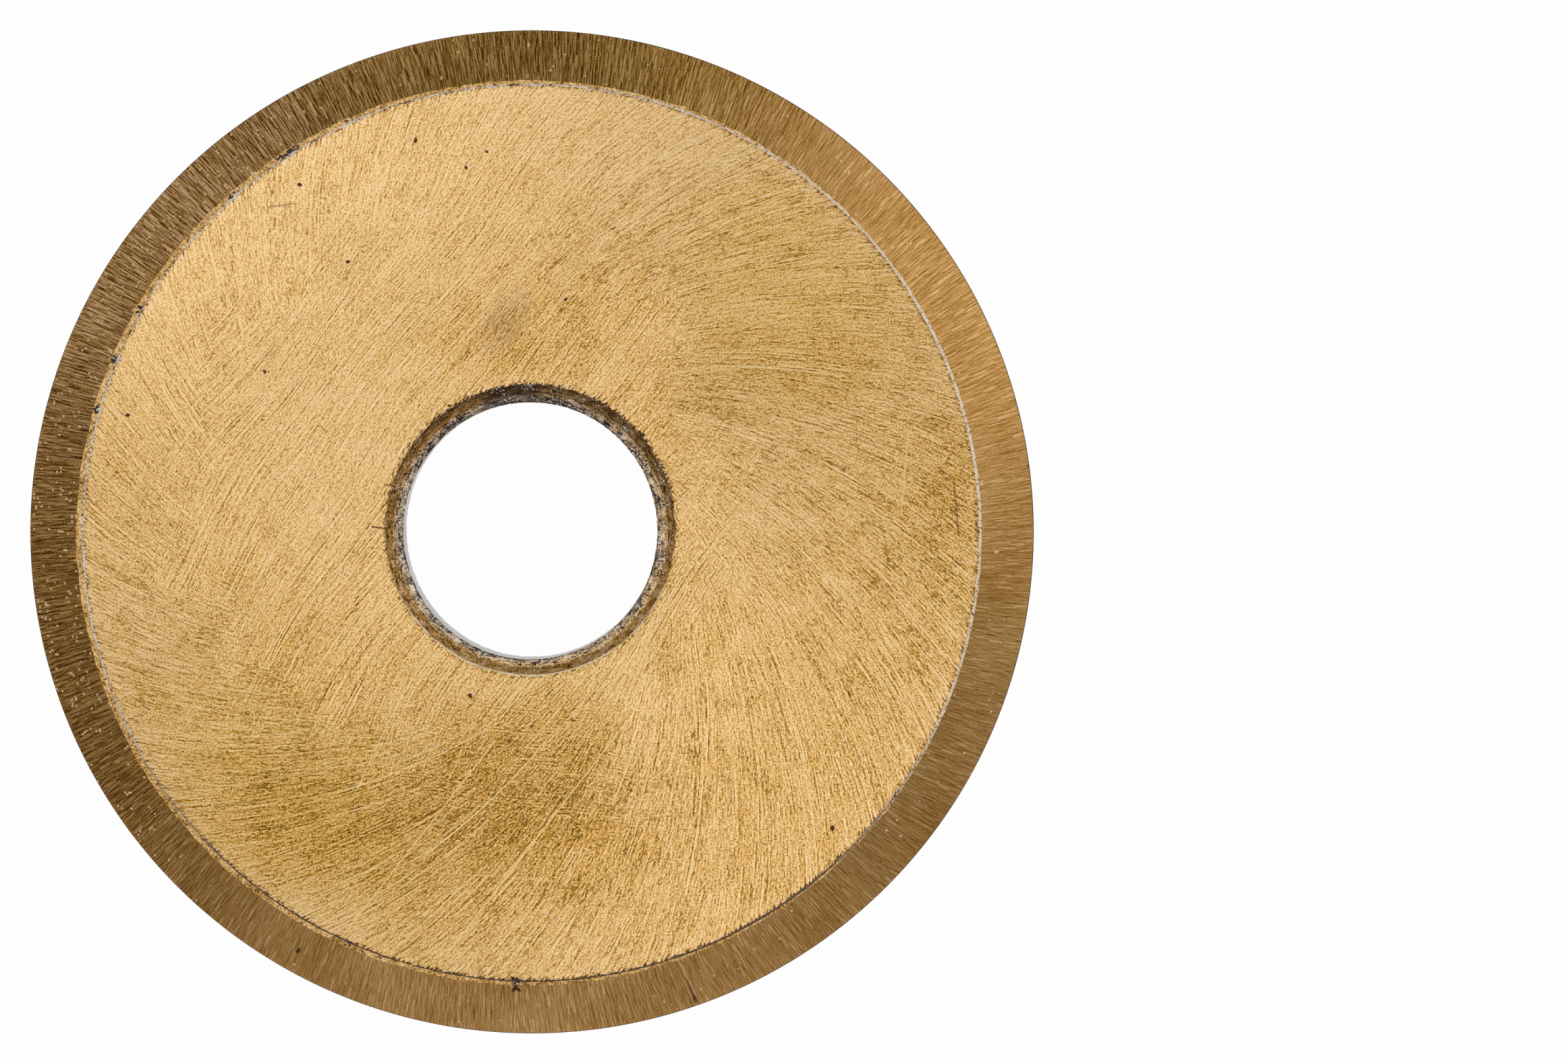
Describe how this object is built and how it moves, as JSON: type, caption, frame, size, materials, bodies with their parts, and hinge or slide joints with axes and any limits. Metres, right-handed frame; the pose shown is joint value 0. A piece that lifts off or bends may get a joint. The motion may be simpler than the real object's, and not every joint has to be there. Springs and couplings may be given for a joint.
{
  "type": "tile cutter wheel",
  "caption": "Flat disc with a round centre hole, narrow stepped ledges and bevels that meet in a sharp rim, for scoring glazed tile.",
  "frame": {"origin": "centre of the bore, in the middle plane that holds the cutting edge", "axes": "+Z along the bore, up out of the face that is seen; the wheel lies flat, and X and Y are any two directions across it"},
  "size_m": [0.022, 0.022, 0.002],
  "materials": {
    "nitride_coating": "satin gold titanium nitride over fine-ground carbide, with crossing polishing scratches on the faces, radial grinding lines on the bevels and bare grey edges"
  },
  "bodies": {
    "root": {"cutter_wheel": "nitride_coating"}
  },
  "joints": []
}
